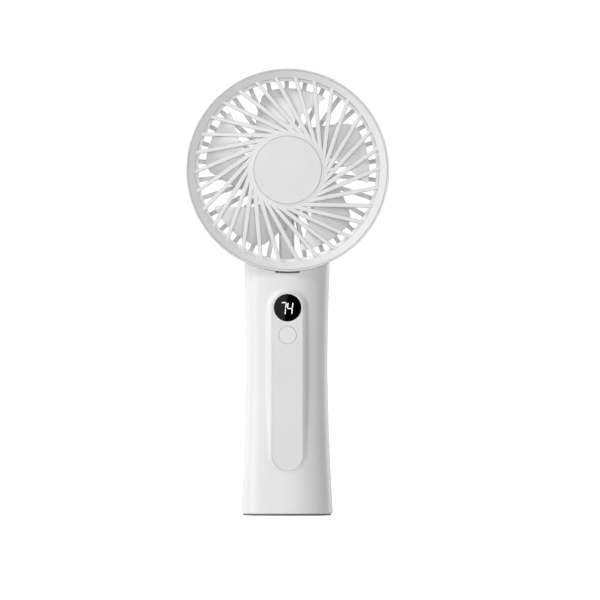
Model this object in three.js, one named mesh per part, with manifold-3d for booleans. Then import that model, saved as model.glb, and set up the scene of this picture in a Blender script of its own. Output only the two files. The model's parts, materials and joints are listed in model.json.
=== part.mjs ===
// A handheld electric fan: a round caged head on a flared handle that stands on its own base.
// Millimetres. +Z is up, the fan blows towards -Y, and the origin is the middle of the base.
import * as THREE from "three";
import { mergeVertices } from "three/addons/utils/BufferGeometryUtils.js";
import Module from "manifold-3d";

const wasm = await Module();
wasm.setup();

// ---- Driving dimensions -------------------------------------------------------------------

const HEAD_Z = 166.9; // height of the head's axis
const HEAD_RADIUS = 49;
const HEAD_FRONT_Y = -17; // rim of the head and face of the centre cap

// Head housing
const GRILLE_SEAT_RADIUS = 48.15;
const HOUSING_BORE_RADIUS = 47.4;
const REAR_RING_RADIUS = 44.3; // inner edge of the rear ring
const REAR_RIB_FRONT_Y = 5.2;
const REAR_RIB_BACK_Y = 7.4;
const REAR_RIB_WIDTH = 2.15;
const HUB_RADIUS = 15.6;
const HUB_BORE_RADIUS = 14;
const HUB_FLOOR = [5.4, 7];
const DUCT_ANGLE = 270; // the cable duct takes the place of the lowest rib
const DUCT_HALF = 3.75;
const DUCT_FACE_HALF = 2.7;
const DUCT_BACK_Y = 8.6;

// Front grille
const RIB_COUNT = 30;
const RIB_PITCH = 360 / RIB_COUNT;
const RIB_PHASE = 1.1; // angle of one front rib's outer end
const RIB_TANGENT_RADIUS = 16.4; // each front rib lies on a tangent to this circle
const RIB_WIDTH = { inner: 2.2, outer: 1.9 };
const RIB_FRONT_Y = { inner: -16.5, outer: -15.65 };
const RIB_DEPTH = 2;
const GRILLE_RADIUS = 47.85;
const GRILLE_OPENING_RADIUS = 44.45;
const GRILLE_FACE_Y = { inner: -15.45, outer: -16.9 }; // the ring's face slopes inwards
const SHELF = { radius: 42.9, inner: -11.9, outer: -12, back: -10.6 }; // step inside the ring
const GRILLE_HUB_RADIUS = 18.3;
const CAP_RADIUS = 16.3;
const CAP_SEAT_Y = -16.2;
const LUG = { count: 3, halfAngle: 4, radius: 47.9, front: -12.6, back: -11.2 };
const TWIST = 12; // degrees that the grille turns to come off

// Impeller
const BLADE_COUNT = 5;
const BLADE_TIP_RADIUS = 39.6;
const BLADE_FRONT_Y = -11.2;
const BLADE_BACK_Y = -3;
const BLADE_CAMBER = -1.2;
const BLADE_EDGE = 0.5;
const BLADE_SWELL = 0.8; // extra thickness at mid chord
const BLADE_MID = { base: -26.2, sweep: 1491 }; // mid-chord angle is base + sweep / radius
const BLADE_SPAN = { base: 17, widening: 217 }; // half the chord's angle, the same way
const IMPELLER_HUB = { radius: 15.4, bore: 13.6, front: -11, back: 2.4, skin: 1.4 };

// Motor
const SHAFT_RADIUS = 1;
const BEARING = { radius: 2.65, bore: 1.08, width: 2 };
const BEARING_TUBE = { bore: 2.75, radius: 3.9, front: -5.3 };
const MOTOR_FLANGE = { radius: 12.6, front: 3.9, back: 5.1 };
const MOTOR_SCREW_RADIUS = 8.5; // circle the three motor screws stand on
const BELL = { radius: 13.4, bore: 12.7, front: -6.6, back: 2.2, skin: 0.8 };
const MAGNET = { radius: 12.5, bore: 11.1, front: -5.2, back: 1.6 };
const STATOR = { radius: 10.5, bore: 4.1, teeth: 6, front: -3.4, back: 1 };

// Handle
const HANDLE_TOP_Z = 122;
const WAIST_Z = 72;
const HALF_WIDTH = { base: 22.42, waist: 19.55, top: 20.65 };
const HALF_DEPTH = { base: 17.8, waist: 14.2, top: 15.2 };
const FLARE_POWER = 1.6;
const ROUNDNESS = 2.5; // exponent of the section's superellipse
const WALL = 1.8;
const SHELL_BOTTOM_Z = 0.9;
const SEAM_Y = 1;
const GAP = 0.3; // between neighbouring pieces
const SADDLE_RADIUS = HEAD_RADIUS + 0.35;
const TOP_WALL = 2;

// Control strip on the handle's front
const STRIP_HALF = 7.5;
const STRIP_FRONT_Y = -15.9;
const STRIP_BACK_Y = -14.4;
const STRIP_ENDS = [29.3, 100.5]; // heights of its two round ends' centres
const DISPLAY_Z = 100.5;
const DISPLAY_RADIUS = 6.62;
const BUTTON_Z = 87.3;
const BUTTON_RADIUS = 4.2;
const SKIRT = { half: 8.2, spread: 3.8, front: -15.75, back: -13.55 };

// Hinge between head and handle
const HINGE_Y = 11.5;
const HINGE_Z = 116.5;
const KNUCKLE = { radius: 3.1, half: 5.4 };
const EAR = { radius: 3.3, inner: 6, outer: 10.6 };
const PIN_RADIUS = 1.2;
const SLOT_HALF = 5.95;
const TONGUE = { front: -6, back: 4, bottom: 116.9 };
const SLIT_FLOOR_Z = 117; // the front edge of the slot that the tongue drops into

// Electronics
const BATTERY = { radius: 10.6, y: 1, bottom: 24.2, top: 94.4 };
const BOARD = { half: 7, front: -11.6, back: -10.6, bottom: 33, top: 107.5 };
const PORT = { z: 12.6, halfWidth: 4.47, halfHeight: 1.6, front: 8.6, back: 16.2, skin: 0.32 };
const BASE_SCREW = { x: 15.6, y: 3.5 };

const RING_SEGMENTS = 72;
const SMALL_SEGMENTS = 20;

// ---- Materials ----------------------------------------------------------------------------

const look = (color, roughness, metalness = 0) =>
  new THREE.MeshStandardMaterial({ color, roughness, metalness });
const WHITE = look(0xe9e9e8, 0.5);
const PALE = look(0xe2e2e1, 0.45);
const BLACK_GLOSS = look(0x0b0b0c, 0.08);
const RUBBER = look(0xa2a2a2, 0.85);
const STEEL = look(0xb8babd, 0.3, 1);
const COPPER = look(0xb9703c, 0.35, 1);
const MAGNET_GREY = look(0x3c3d40, 0.6, 0.3);
const BOARD_GREEN = look(0x1f5c3a, 0.5);
const CHIP_BLACK = look(0x1b1b1d, 0.5);
const CELL_WRAP = look(0x4a8fb5, 0.4);
const CRADLE_GREY = look(0x8f9194, 0.6);
const WIRE_RED = look(0xb02a25, 0.5);
const WIRE_BLACK = look(0x202022, 0.5);
const FOAM = look(0x2b2b2d, 0.95);

// ---- Solids -------------------------------------------------------------------------------

// Any closed geometry as a solid that can be joined and cut.
function solid(geometry) {
  const bare = new THREE.BufferGeometry();
  bare.setAttribute("position", geometry.attributes.position);
  bare.setIndex(geometry.index);
  const merged = mergeVertices(bare, 1e-4);
  const corners = merged.index.array;
  const triangles = [];
  for (let i = 0; i < corners.length; i += 3) {
    const [a, b, c] = [corners[i], corners[i + 1], corners[i + 2]];
    if (a !== b && b !== c && c !== a) triangles.push([a, b, c]);
  }
  const build = (list) =>
    new wasm.Manifold(
      new wasm.Mesh({
        numProp: 3,
        vertProperties: merged.attributes.position.array,
        triVerts: new Uint32Array(list.flat()),
      }),
    );
  const made = build(triangles);
  return made.volume() > 0 ? made : build(triangles.map(([a, b, c]) => [a, c, b]));
}

function geometryOf(shape) {
  const mesh = shape.getMesh();
  const geometry = new THREE.BufferGeometry();
  geometry.setAttribute("position", new THREE.BufferAttribute(mesh.vertProperties, 3));
  geometry.setIndex(new THREE.BufferAttribute(mesh.triVerts, 1));
  geometry.computeVertexNormals();
  return geometry;
}

const joined = (shapes) => shapes.reduce((all, one) => all.add(one));
const cut = (shape, tools) => tools.reduce((all, one) => all.subtract(one), shape);

// A box from its lowest to its highest corner.
function box([x0, y0, z0], [x1, y1, z1]) {
  const geometry = new THREE.BoxGeometry(x1 - x0, y1 - y0, z1 - z0);
  return solid(geometry.translate((x0 + x1) / 2, (y0 + y1) / 2, (z0 + z1) / 2));
}

// A profile of [radius, y] points turned about the Y axis.
function turned(profile, segments = SMALL_SEGMENTS) {
  return solid(new THREE.LatheGeometry(profile.map(([r, y]) => new THREE.Vector2(r, y)), segments));
}

// A closed ring or a plain disc (bore 0) between two depths.
function ring(radius, bore, y0, y1, segments = SMALL_SEGMENTS) {
  const profile = [[bore, y0], [radius, y0], [radius, y1], [bore, y1]];
  if (bore > 0) profile.push([bore, y0]);
  return turned(profile, segments);
}

// A round bar between two points.
function rod(radius, from, to, segments = SMALL_SEGMENTS) {
  const start = new THREE.Vector3(...from);
  const along = new THREE.Vector3(...to).sub(start);
  const geometry = new THREE.CylinderGeometry(radius, radius, along.length(), segments);
  const turn = new THREE.Quaternion().setFromUnitVectors(
    new THREE.Vector3(0, 1, 0),
    along.clone().normalize(),
  );
  return solid(
    geometry.applyQuaternion(turn).translate(...start.addScaledVector(along, 0.5).toArray()),
  );
}

// A flat outline in X and Z, with thickness from y0 back to y1.
function plate(shape, y0, y1, curveSegments = 8) {
  const geometry = new THREE.ExtrudeGeometry(shape, {
    depth: y1 - y0,
    bevelEnabled: false,
    curveSegments,
  });
  return solid(geometry.rotateX(Math.PI / 2).translate(0, y1, 0));
}

// An upright outline with round ends, its end centres at the two heights.
function stadium(half, [low, high]) {
  const shape = new THREE.Shape();
  shape.absarc(0, high, half, 0, Math.PI);
  shape.absarc(0, low, half, Math.PI, 2 * Math.PI);
  return shape;
}

// The part of a ring between two angles, anticlockwise as seen from the front.
function sector(outer, inner, from, to, y0, y1) {
  const [a, b] = [from, to].map(THREE.MathUtils.degToRad);
  const shape = new THREE.Shape();
  shape.absarc(0, 0, outer, a, b);
  shape.absarc(0, 0, inner, b, a, true);
  return plate(shape, y0, y1, 6);
}

// A round cable, or a flat one when it has a width, along a smooth path.
function cable(radius, points, width = 0) {
  const path = new THREE.CatmullRomCurve3(points.map((p) => new THREE.Vector3(...p)));
  const section = new THREE.Shape();
  if (width) {
    section.moveTo(-width / 2, -radius);
    section.lineTo(width / 2, -radius);
    section.lineTo(width / 2, radius);
    section.lineTo(-width / 2, radius);
  } else {
    section.absarc(0, 0, radius, 0, 2 * Math.PI);
  }
  return solid(
    new THREE.ExtrudeGeometry(section, { steps: 16, curveSegments: 4, extrudePath: path }),
  );
}

// A copy turned about the head's axis, anticlockwise as seen from the front.
function around(geometry, degrees) {
  return solid(geometry.clone().rotateY(-THREE.MathUtils.degToRad(degrees)));
}

const angles = (count, first = 0) =>
  Array.from({ length: count }, (_, i) => first + (i * 360) / count);

// A straight bar along X at height z, whose width and front face change from end to end.
function barGeometry([x0, x1], z, [width0, width1], [front0, front1], depth) {
  const geometry = new THREE.BoxGeometry(1, 1, 1);
  const p = geometry.attributes.position;
  for (let i = 0; i < p.count; i++) {
    const t = p.getX(i) + 0.5;
    const width = THREE.MathUtils.lerp(width0, width1, t);
    const front = THREE.MathUtils.lerp(front0, front1, t);
    p.setXYZ(
      i,
      THREE.MathUtils.lerp(x0, x1, t),
      front + (p.getY(i) + 0.5) * depth,
      z + p.getZ(i) * width,
    );
  }
  return geometry;
}

// ---- Head ---------------------------------------------------------------------------------
// The head's pieces are modelled about its axis and placed by the head group.

const hingeInHead = HINGE_Z - HEAD_Z;

function housingWall() {
  return turned(
    [
      [GRILLE_SEAT_RADIUS, HEAD_FRONT_Y + 0.25],
      [48.6, HEAD_FRONT_Y],
      [HEAD_RADIUS, HEAD_FRONT_Y + 0.45],
      [HEAD_RADIUS, 1.5],
      [48.3, 4.6],
      [46.7, 6.8],
      [44.9, 7.6],
      [REAR_RING_RADIUS, 7.6],
      [REAR_RING_RADIUS, REAR_RIB_FRONT_Y],
      [45.8, REAR_RIB_FRONT_Y],
      [47, 3.8],
      [HOUSING_BORE_RADIUS, 1.5],
      [HOUSING_BORE_RADIUS, -13.1],
      [GRILLE_SEAT_RADIUS, -13.1],
      [GRILLE_SEAT_RADIUS, HEAD_FRONT_Y + 0.25],
    ],
    RING_SEGMENTS,
  );
}

function housingRibs() {
  const rib = barGeometry(
    [HUB_RADIUS - 0.6, REAR_RING_RADIUS + 0.8],
    0,
    [REAR_RIB_WIDTH, REAR_RIB_WIDTH],
    [REAR_RIB_FRONT_Y, REAR_RIB_FRONT_Y],
    REAR_RIB_BACK_Y - REAR_RIB_FRONT_Y,
  );
  const places = angles(RIB_COUNT, RIB_PITCH / 2).filter((angle) => angle !== DUCT_ANGLE);
  return places.map((angle) => around(rib, angle));
}

// The channel that carries the motor's lead down to the hinge, open at the back.
function ductWalls() {
  const top = 1 - HUB_RADIUS;
  const bottom = 0.8 - HEAD_RADIUS;
  return [
    box([-DUCT_FACE_HALF, 4.5, bottom], [DUCT_FACE_HALF, 5.6, top]),
    box([-DUCT_HALF, REAR_RIB_FRONT_Y, bottom], [-DUCT_FACE_HALF, DUCT_BACK_Y, top]),
    box([DUCT_FACE_HALF, REAR_RIB_FRONT_Y, bottom], [DUCT_HALF, DUCT_BACK_Y, top]),
  ];
}

// The tongue under the head and the hinge knuckle at its back end.
function tongueAndKnuckle() {
  const { half, radius } = KNUCKLE;
  const low = TONGUE.bottom - HEAD_Z;
  return [
    box([-half, TONGUE.front, low], [half, TONGUE.back, 1.2 - HEAD_RADIUS]),
    box([-half, 3, hingeInHead - 1.9], [half, HINGE_Y, hingeInHead + radius]),
    rod(radius, [-half, HINGE_Y, hingeInHead], [half, HINGE_Y, hingeInHead]),
  ];
}

function housing() {
  const body = joined([
    housingWall(),
    ring(HUB_RADIUS, HUB_BORE_RADIUS, 3, 9.4, 45),
    ring(HUB_BORE_RADIUS + 0.5, 4.3, ...HUB_FLOOR, 45),
    ...housingRibs(),
    ...ductWalls(),
    ...tongueAndKnuckle(),
  ]);
  const screwHoles = angles(3, 90).map((angle) =>
    around(
      new THREE.CylinderGeometry(1, 1, 4, 12).translate(MOTOR_SCREW_RADIUS, HUB_FLOOR[1], 0),
      angle,
    ),
  );
  const lugSlots = angles(LUG.count, 30).map((angle) =>
    sector(
      LUG.radius + 0.3,
      HOUSING_BORE_RADIUS - 1,
      angle - LUG.halfAngle - 1,
      angle + LUG.halfAngle + TWIST + 1,
      LUG.front - 0.3,
      LUG.back + 0.3,
    ),
  );
  const { half } = KNUCKLE;
  return cut(body, [
    ...screwHoles,
    ...lugSlots,
    rod(PIN_RADIUS + 0.1, [-half - 1, HINGE_Y, hingeInHead], [half + 1, HINGE_Y, hingeInHead]),
    box([-1.4, 5.6, -HUB_RADIUS - 1], [1.4, 7.6, -HUB_BORE_RADIUS + 1]), // lead leaves the hub
    box([-1.4, 5.6, -HEAD_RADIUS - 8], [1.4, 7.6, 7 - HEAD_RADIUS]), // and goes into the hinge
  ]);
}

function ductCover() {
  const half = DUCT_FACE_HALF - 0.15;
  return box([-half, 7.7, 4.2 - HEAD_RADIUS], [half, DUCT_BACK_Y, -HUB_RADIUS - 0.3]);
}

function rearCap() {
  return turned([[0, 8.1], [13.8, 8.1], [13.8, 9.2], [12.6, 9.7], [0, 10]], 45);
}

function grilleRing() {
  return turned(
    [
      [GRILLE_RADIUS, GRILLE_FACE_Y.outer],
      [GRILLE_OPENING_RADIUS, GRILLE_FACE_Y.inner],
      [GRILLE_OPENING_RADIUS, SHELF.outer],
      [SHELF.radius, SHELF.inner],
      [SHELF.radius, SHELF.back],
      [45.4, SHELF.back],
      [45.4, -13.2],
      [46.2, -13.2],
      [46.2, -10.5],
      [47.2, -10.5],
      [47.2, -13.4],
      [GRILLE_RADIUS, -13.4],
      [GRILLE_RADIUS, GRILLE_FACE_Y.outer],
    ],
    RING_SEGMENTS,
  );
}

// The middle of the grille: a dish whose rim surrounds the centre cap.
function grilleHub() {
  const profile = [[0, -16.8], [16.6, -16.8], [GRILLE_HUB_RADIUS, -16.6]];
  return turned([...profile, [GRILLE_HUB_RADIUS, -14.2], [0, -14.2]], 60);
}

function grilleRibs() {
  const reach = Math.sqrt(GRILLE_OPENING_RADIUS ** 2 - RIB_TANGENT_RADIUS ** 2);
  const outerEnd = (Math.asin(RIB_TANGENT_RADIUS / GRILLE_OPENING_RADIUS) * 180) / Math.PI;
  const rib = barGeometry(
    [3, reach + 0.7],
    -RIB_TANGENT_RADIUS,
    [RIB_WIDTH.inner, RIB_WIDTH.outer],
    [RIB_FRONT_Y.inner, RIB_FRONT_Y.outer],
    RIB_DEPTH,
  );
  return angles(RIB_COUNT, RIB_PHASE + outerEnd).map((angle) => around(rib, angle));
}

function frontGrille() {
  const lugs = angles(LUG.count, 30).map((angle) =>
    sector(LUG.radius, 46.6, angle - LUG.halfAngle, angle + LUG.halfAngle, LUG.front, LUG.back),
  );
  const whole = joined([grilleRing(), grilleHub(), ...grilleRibs(), ...lugs]);
  return whole.subtract(ring(CAP_RADIUS + 0.15, 0, -20, CAP_SEAT_Y, 60));
}

function centreCap() {
  const back = CAP_SEAT_Y - 0.05;
  const edge = [[CAP_RADIUS, back], [CAP_RADIUS, -16.8], [16.1, -16.95]];
  return turned([[0, back], ...edge, [0, -16.95]], 60);
}

// ---- Impeller and motor -------------------------------------------------------------------

// One blade: u runs along the chord from the front edge (-1) to the back edge (+1).
function bladeGeometry() {
  const root = IMPELLER_HUB.radius - 0.9;
  const geometry = new THREE.BoxGeometry(1, 1, 1, 8, 1, 6);
  const p = geometry.attributes.position;
  const middle = (BLADE_FRONT_Y + BLADE_BACK_Y) / 2;
  const slope = (BLADE_BACK_Y - BLADE_FRONT_Y - BLADE_EDGE) / 2;
  for (let i = 0; i < p.count; i++) {
    const u = 2 * p.getX(i);
    const radius = THREE.MathUtils.lerp(root, BLADE_TIP_RADIUS, p.getZ(i) + 0.5);
    const mid = BLADE_MID.base + BLADE_MID.sweep / radius;
    const span = BLADE_SPAN.base + BLADE_SPAN.widening / radius;
    const angle = THREE.MathUtils.degToRad(mid + u * span);
    const bulge = 1 - u * u;
    const thickness = BLADE_EDGE + BLADE_SWELL * bulge;
    p.setXYZ(
      i,
      radius * Math.cos(angle),
      middle + slope * u + BLADE_CAMBER * bulge + p.getY(i) * thickness,
      radius * Math.sin(angle),
    );
  }
  return geometry;
}

function impeller() {
  const { radius, bore, front, back, skin } = IMPELLER_HUB;
  const hub = turned(
    [
      [0, front],
      [radius - 1, front],
      [radius, front + 1],
      [radius, back],
      [bore, back],
      [bore, front + skin],
      [3, front + skin],
      [3, BELL.front - 0.3],
      [SHAFT_RADIUS + 0.1, BELL.front - 0.3],
      [SHAFT_RADIUS + 0.1, front + skin - 0.6],
      [0, front + skin - 0.6],
    ],
    45,
  );
  return joined([hub, ...angles(BLADE_COUNT).map((angle) => around(bladeGeometry(), angle))]);
}

function rotorBell() {
  const { radius, bore, front, back, skin } = BELL;
  return turned(
    [
      [SHAFT_RADIUS + 0.08, front],
      [radius, front],
      [radius, back],
      [bore, back],
      [bore, front + skin],
      [SHAFT_RADIUS + 0.08, front + skin],
      [SHAFT_RADIUS + 0.08, front],
    ],
    36,
  );
}

function statorCore() {
  const tooth = new THREE.Shape();
  tooth.moveTo(5, -1.3);
  tooth.lineTo(8.6, -1.3);
  tooth.lineTo(9.6, -4);
  tooth.absarc(0, 0, STATOR.radius, -0.39, 0.39);
  tooth.lineTo(9.6, 4);
  tooth.lineTo(8.6, 1.3);
  tooth.lineTo(5, 1.3);
  const { bore, front, back, teeth } = STATOR;
  const geometry = new THREE.ExtrudeGeometry(tooth, {
    depth: back - front,
    bevelEnabled: false,
    curveSegments: 4,
  });
  geometry.rotateX(Math.PI / 2).translate(0, back, 0);
  return joined([
    ring(5.6, bore, front, back, 30),
    ...angles(teeth).map((angle) => around(geometry, angle)),
  ]);
}

// The coils, held together by the insulating ring behind the core.
function statorWinding() {
  const { front, back, teeth } = STATOR;
  const coil = new THREE.BoxGeometry(2.4, back - front + 1.8, 4.8).translate(7.2, (front + back) / 2, 0);
  const slot = new THREE.BoxGeometry(6, back - front + 0.4, 2.9).translate(7.2, (front + back) / 2, 0);
  const coils = angles(teeth).map((angle) => around(coil, angle).subtract(around(slot, angle)));
  return joined([ring(8.2, 6.1, back + 0.5, back + 0.9, 30), ...coils]);
}

function motorBase() {
  const { bore, radius, front } = BEARING_TUBE;
  const body = turned(
    [
      [bore, front],
      [radius, front],
      [radius, MOTOR_FLANGE.front],
      [MOTOR_FLANGE.radius, MOTOR_FLANGE.front],
      [MOTOR_FLANGE.radius, MOTOR_FLANGE.back],
      [4, MOTOR_FLANGE.back],
      [4, 6.6],
      [bore, 6.6],
      [bore, front],
    ],
    36,
  );
  const hole = new THREE.CylinderGeometry(0.8, 0.8, 4, 12).translate(
    MOTOR_SCREW_RADIUS,
    MOTOR_FLANGE.front,
    0,
  );
  return cut(body, angles(3, 90).map((angle) => around(hole, angle)));
}

function motorBoard() {
  return ring(11.8, 4.2, 2.4, 3.2, 36);
}

// The lead's upper half: from the hub, down the duct, to the hinge.
function motorLead() {
  const y = 6.6;
  return rod(0.85, [0, y, -HUB_BORE_RADIUS + 0.4], [0, y, 2 - HEAD_RADIUS], 10);
}

// A pan-head screw, its head on top and its tip down.
function screw(headRadius, headHeight, radius, length) {
  return turned([
    [0, -length],
    [radius * 0.6, -length],
    [radius, -length + radius],
    [radius, 0],
    [headRadius, 0],
    [headRadius, headHeight * 0.6],
    [headRadius * 0.7, headHeight],
    [0, headHeight],
  ], 14);
}

// ---- Handle -------------------------------------------------------------------------------

// Half the handle's size at a height: least at the waist, growing along a curve to each end.
function flare(z, { base, waist, top }) {
  const below = z < WAIST_Z;
  const t = below ? (WAIST_Z - z) / WAIST_Z : (z - WAIST_Z) / (HANDLE_TOP_Z - WAIST_Z);
  return waist + ((below ? base : top) - waist) * t ** FLARE_POWER;
}

// A solid with the handle's outline, drawn in by an inset, between two heights.
function handleBlock(inset, z0, z1, rises = 12, segments = 44) {
  const geometry = new THREE.CylinderGeometry(1, 1, 1, segments, rises);
  const p = geometry.attributes.position;
  const round = (c) => Math.sign(c) * Math.abs(c) ** (2 / ROUNDNESS);
  for (let i = 0; i < p.count; i++) {
    const z = z0 + (p.getY(i) + 0.5) * (z1 - z0);
    const reach = Math.hypot(p.getX(i), p.getZ(i));
    const turn = Math.atan2(p.getZ(i), p.getX(i));
    p.setXYZ(
      i,
      reach * (flare(z, HALF_WIDTH) - inset) * round(Math.cos(turn)),
      reach * (flare(z, HALF_DEPTH) - inset) * round(Math.sin(turn)),
      z,
    );
  }
  return solid(geometry);
}

// A cylinder about the head's axis, long enough to cut right through the handle.
const headCylinder = (radius) => rod(radius, [0, -30, HEAD_Z], [0, 30, HEAD_Z], RING_SEGMENTS);

// The raised ground that the control strip lies in, with sloping sides.
function stripSkirt() {
  const { half, spread, front, back } = SKIRT;
  const geometry = new THREE.ExtrudeGeometry(stadium(half, STRIP_ENDS), {
    depth: 1.5,
    bevelThickness: back - front,
    bevelSize: spread,
    bevelSegments: 1,
    curveSegments: 10,
  });
  const slab = solid(geometry.rotateX(Math.PI / 2).translate(0, front + 1.5 + back - front, 0));
  return slab.intersect(box([-30, front - 0.1, 0], [30, back, HANDLE_TOP_Z]));
}

function handleTube() {
  const outside = handleBlock(0, SHELL_BOTTOM_Z, HANDLE_TOP_Z).subtract(
    headCylinder(SADDLE_RADIUS),
  );
  const inside = handleBlock(WALL, -2, HANDLE_TOP_Z).subtract(
    headCylinder(SADDLE_RADIUS + TOP_WALL),
  );
  return cut(outside.subtract(inside).add(stripSkirt()), [
    box([-SLOT_HALF, -12.5, HINGE_Z - 3.5], [SLOT_HALF, 30, HANDLE_TOP_Z + 1]),
    box([-SLOT_HALF, -30, SLIT_FLOOR_Z], [SLOT_HALF, -12, HANDLE_TOP_Z + 1]),
  ]);
}

const frontHalf = box([-30, -30, -5], [30, SEAM_Y - GAP / 2, 130]);
const rearHalf = box([-30, SEAM_Y + GAP / 2, -5], [30, 30, 130]);

function frontShell(tube) {
  const shell = tube.intersect(frontHalf);
  const boardBosses = [45, 75].map((z) => rod(1.6, [0, -13.5, z], [0, BOARD.front - 0.3, z], 14));
  const recess = plate(stadium(STRIP_HALF + 0.12, STRIP_ENDS), -20, STRIP_BACK_Y + 0.1);
  return cut(joined([shell, ...boardBosses]), [
    recess,
    box([-5.2, -15, DISPLAY_Z - 5.7], [5.2, -10, DISPLAY_Z + 5.7]),
    rod(5.1, [0, -16, BUTTON_Z], [0, -11, BUTTON_Z]),
    ...[45, 75].map((z) => rod(0.75, [0, -13.4, z], [0, -11, z], 12)),
  ]);
}

// One ear of the hinge, blended into the wall behind it.
function hingeEar(side) {
  const [x0, x1] = side > 0 ? [EAR.inner, EAR.outer] : [-EAR.outer, -EAR.inner];
  return joined([
    rod(EAR.radius, [x0, HINGE_Y, HINGE_Z], [x1, HINGE_Y, HINGE_Z]),
    box([x0, HINGE_Y - 2.6, HINGE_Z - 6.5], [x1, HINGE_Y + 2, HINGE_Z]),
  ]);
}

function baseScrewBoss(side) {
  const { x, y } = BASE_SCREW;
  const post = rod(2.7, [side * x, y, 3.3], [side * x, y, 10], 16);
  const [x0, x1] = side > 0 ? [x, 23] : [-23, -x];
  const web = box([x0, y - 1, 3.3], [x1, y + 1, 10]);
  return post.add(web).intersect(handleBlock(0.6, 2, 12, 2));
}

function rearShell(tube) {
  const { x, y } = BASE_SCREW;
  const solids = [tube.intersect(rearHalf)];
  for (const side of [-1, 1]) solids.push(hingeEar(side), baseScrewBoss(side).intersect(rearHalf));
  const portHole = new THREE.Shape();
  const [w, h] = [PORT.halfWidth - PORT.halfHeight, PORT.halfHeight + 0.3];
  portHole.absarc(w, PORT.z, h, -Math.PI / 2, Math.PI / 2);
  portHole.absarc(-w, PORT.z, h, Math.PI / 2, (3 * Math.PI) / 2);
  return cut(joined(solids), [
    plate(portHole, 12, 20),
    rod(PIN_RADIUS + 0.1, [-EAR.outer + 0.3, HINGE_Y, HINGE_Z], [EAR.outer - 0.3, HINGE_Y, HINGE_Z]),
    ...[-1, 1].map((side) => rod(1.1, [side * x, y, 3], [side * x, y, 9.2], 14)),
  ]);
}

function controlStrip() {
  return cut(plate(stadium(STRIP_HALF, STRIP_ENDS), STRIP_FRONT_Y, STRIP_BACK_Y, 16), [
    rod(DISPLAY_RADIUS + 0.12, [0, -20, DISPLAY_Z], [0, -10, DISPLAY_Z], 36),
    rod(BUTTON_RADIUS + 0.15, [0, -20, BUTTON_Z], [0, -10, BUTTON_Z], 30),
  ]);
}

function powerButton() {
  return joined([
    ring(BUTTON_RADIUS, 0, STRIP_FRONT_Y, STRIP_BACK_Y + 0.2, 30),
    ring(4.8, 0, STRIP_BACK_Y + 0.2, STRIP_BACK_Y + 0.5, 24),
  ]);
}

function baseCap() {
  const { x, y } = BASE_SCREW;
  const holes = [-1, 1].flatMap((side) => [
    rod(1.2, [side * x, y, 0], [side * x, y, 5], 14),
    rod(2.3, [side * x, y, 0], [side * x, y, 2.05], 16),
  ]);
  return cut(handleBlock(WALL + 0.2, SHELL_BOTTOM_Z, 3, 1), holes);
}

// ---- What the handle holds ----------------------------------------------------------------

function batteryCell() {
  const { radius, bottom, top } = BATTERY;
  return turned([
    [0, bottom],
    [radius - 0.5, bottom],
    [radius, bottom + 0.5],
    [radius, top - 1],
    [radius - 1, top - 0.4],
    [4, top - 0.4],
    [4, top],
    [0, top],
  ], 32);
}

function batteryCradle() {
  const { y, bottom, top } = BATTERY;
  const frame = box([-12.8, y - 6, bottom - 2.4], [12.8, y + 6, top + 2.8]);
  return cut(frame, [
    box([-11, y - 7, bottom - 0.8], [11, y + 7, top + 1.2]),
    box([-3.6, y - 7, bottom - 4], [3.6, y - 2, top + 4]),
  ]);
}

function usbPort() {
  const stadiumAcross = (inset) => {
    const shape = new THREE.Shape();
    const w = PORT.halfWidth - PORT.halfHeight;
    const h = PORT.halfHeight - inset;
    shape.absarc(w, 0, h, -Math.PI / 2, Math.PI / 2);
    shape.absarc(-w, 0, h, Math.PI / 2, (3 * Math.PI) / 2);
    return shape;
  };
  const can = plate(stadiumAcross(0), 0, PORT.back - PORT.front);
  return can.subtract(plate(stadiumAcross(PORT.skin), PORT.skin, 20));
}

// ---- Assembly -----------------------------------------------------------------------------

const fan = new THREE.Group();
const head = new THREE.Group();
head.position.set(0, 0, HEAD_Z);
fan.add(head);

// Adds a piece to a group, at a place and a turn in that group.
function add(group, name, shape, material, place = [0, 0, 0], turn = [0, 0, 0]) {
  const mesh = new THREE.Mesh(geometryOf(shape), material);
  mesh.name = name;
  mesh.position.set(...place);
  mesh.rotation.set(...turn);
  group.add(mesh);
}

function addHead() {
  add(head, "rear_housing", housing(), WHITE);
  add(head, "duct_cover", ductCover(), WHITE);
  add(head, "rear_cap", rearCap(), WHITE);
  add(head, "front_grille", frontGrille(), WHITE);
  add(head, "centre_cap", centreCap(), PALE);
  add(head, "motor_lead", motorLead(), WIRE_BLACK);
}

function addMotor() {
  add(head, "impeller", impeller(), WHITE);
  add(head, "rotor_bell", rotorBell(), STEEL);
  add(head, "magnet_ring", ring(MAGNET.radius, MAGNET.bore, MAGNET.front, MAGNET.back, 36), MAGNET_GREY);
  add(head, "motor_shaft", ring(SHAFT_RADIUS, 0, -9.9, 5.6, 16), STEEL);
  add(head, "shaft_clip", ring(2.3, SHAFT_RADIUS + 0.1, 3.8, 4.2, 16), STEEL);
  add(head, "motor_base", motorBase(), STEEL);
  add(head, "stator_core", statorCore(), STEEL);
  add(head, "stator_winding", statorWinding(), COPPER);
  add(head, "motor_board", motorBoard(), BOARD_GREEN);
  const bearing = ring(BEARING.radius, BEARING.bore, 0, BEARING.width);
  add(head, "front_bearing", bearing, STEEL, [0, -5.1, 0]);
  add(head, "rear_bearing", bearing, STEEL, [0, 1.5, 0]);
  angles(3, 90).forEach((angle, i) => {
    const a = THREE.MathUtils.degToRad(angle);
    const place = [MOTOR_SCREW_RADIUS * Math.cos(a), 7.2, MOTOR_SCREW_RADIUS * Math.sin(a)];
    add(head, `motor_screw_${i + 1}`, screw(1.6, 0.8, 0.65, 3), STEEL, place);
  });
}

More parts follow.
